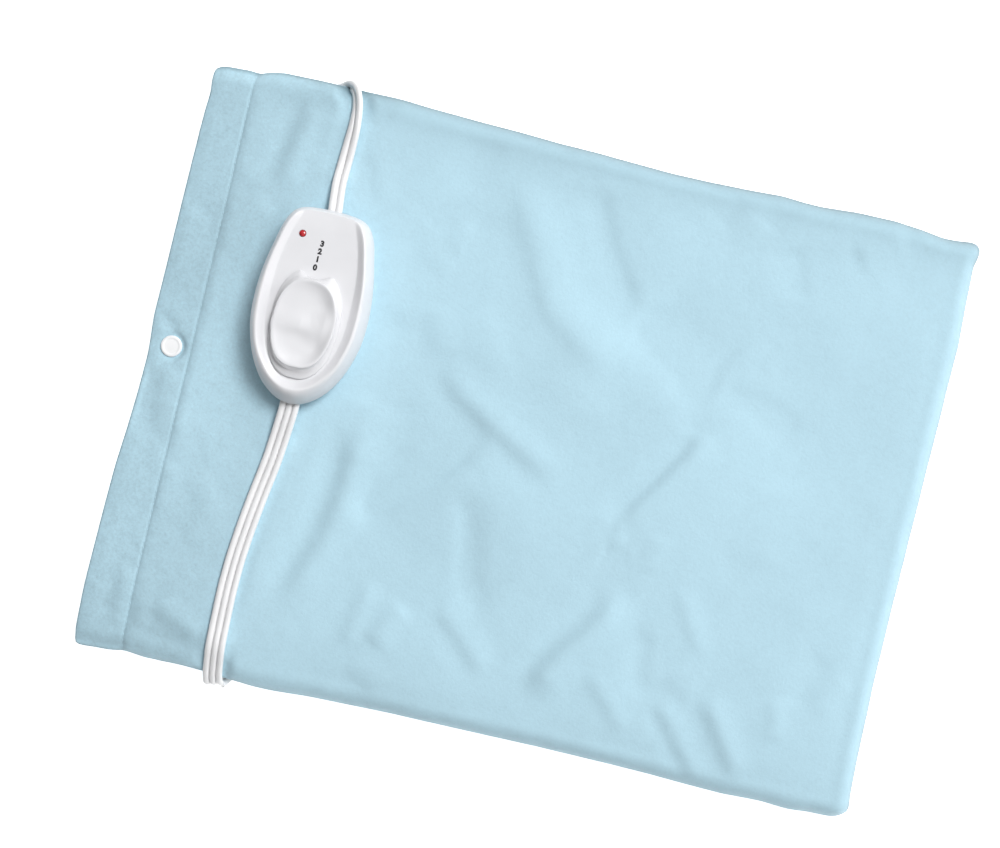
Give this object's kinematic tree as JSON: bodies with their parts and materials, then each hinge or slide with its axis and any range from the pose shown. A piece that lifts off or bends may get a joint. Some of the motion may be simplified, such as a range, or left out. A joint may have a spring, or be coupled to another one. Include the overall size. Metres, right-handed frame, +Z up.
{
  "type": "heating pad",
  "caption": "Rectangular fleece-covered electric heating pad with an in-line slide controller lying on it, a hem with a snap, flat cords and a mains plug.",
  "frame": {"origin": "centre of the pad's outline, on the surface that the pad lies on", "axes": "+X along the pad's long side, away from the mouth with its hem and snap; +Y along its short side, towards the edge that the mains cord crosses; +Z up"},
  "size_m": [0.415, 0.3254, 0.0416],
  "materials": {
    "fleece": "short-nap fleece, matt",
    "snap_plastic": "white moulded, glossy",
    "envelope_vinyl": "soft welded vinyl sheet",
    "batting": "needled polyester batting",
    "heating_wire": "satin insulation",
    "dark_plastic": "moulded, matt",
    "contact_brass": "stamped",
    "white_moulding": "moulded, satin",
    "housing": "white moulded, glossy",
    "steel": "zinc plated",
    "knob": "white moulded, glossy",
    "board": "paper laminate",
    "red_lens": "translucent red, polished",
    "lamp_glass": "clear",
    "resistor": "lacquered",
    "cord_vinyl": "white flexible vinyl, satin",
    "tie": "paper-covered wire",
    "plug_vinyl": "white moulded vinyl, satin",
    "blade_metal": "nickel plated"
  },
  "bodies": {
    "pad": {"cover_lower_panel": "fleece", "cover_upper_panel": "fleece", "snap_back_cap": "snap_plastic", "snap_stud": "snap_plastic", "envelope_lower": "envelope_vinyl", "envelope_upper": "envelope_vinyl", "batting_lower": "batting", "batting_upper": "batting", "element_a_1": "heating_wire", "element_a_2": "heating_wire", "element_b_1": "heating_wire", "element_b_2": "heating_wire", "return_wire": "heating_wire", "thermostat_a": "dark_plastic", "thermostat_b": "dark_plastic", "return_crimp": "contact_brass", "junction_block": "white_moulding", "pad_strain_relief": "white_moulding", "controller_lower_housing": "housing", "controller_upper_housing": "housing", "housing_screw_1": "steel", "housing_screw_2": "steel", "housing_screw_3": "steel", "housing_screw_4": "steel", "detent_spring": "steel", "contact_board": "board", "common_contact": "contact_brass", "contact_1": "contact_brass", "contact_2": "contact_brass", "contact_3": "contact_brass", "lamp_lens": "red_lens", "indicator_lamp": "lamp_glass", "lamp_resistor": "resistor", "mains_cord_clamp": "white_moulding", "lead_cord_clamp": "white_moulding", "controller_lead": "cord_vinyl", "mains_cord": "cord_vinyl", "mains_cord_hank": "cord_vinyl", "hank_tie_1": "tie", "hank_tie_2": "tie", "mains_cord_tail": "cord_vinyl", "plug_body": "plug_vinyl", "plug_blade_1": "blade_metal", "plug_blade_2": "blade_metal"},
    "hem_flap": {"cover_upper_hem": "fleece", "snap_cap": "snap_plastic", "snap_socket": "snap_plastic"},
    "slider": {"slider_knob": "knob", "slide_carrier": "dark_plastic", "bridge_contact": "contact_brass"}
  },
  "joints": [
    {"name": "switch_slide", "type": "slide", "parent": "pad", "child": "slider", "axis": [0, 1, 0], "range_m": [0, 0.01222]},
    {"name": "cover_flap", "type": "hinge", "parent": "pad", "child": "hem_flap", "pos_m": [-0.1803, 0, 0.0098], "axis": [0, 1, 0], "range_deg": [0, 70]}
  ]
}
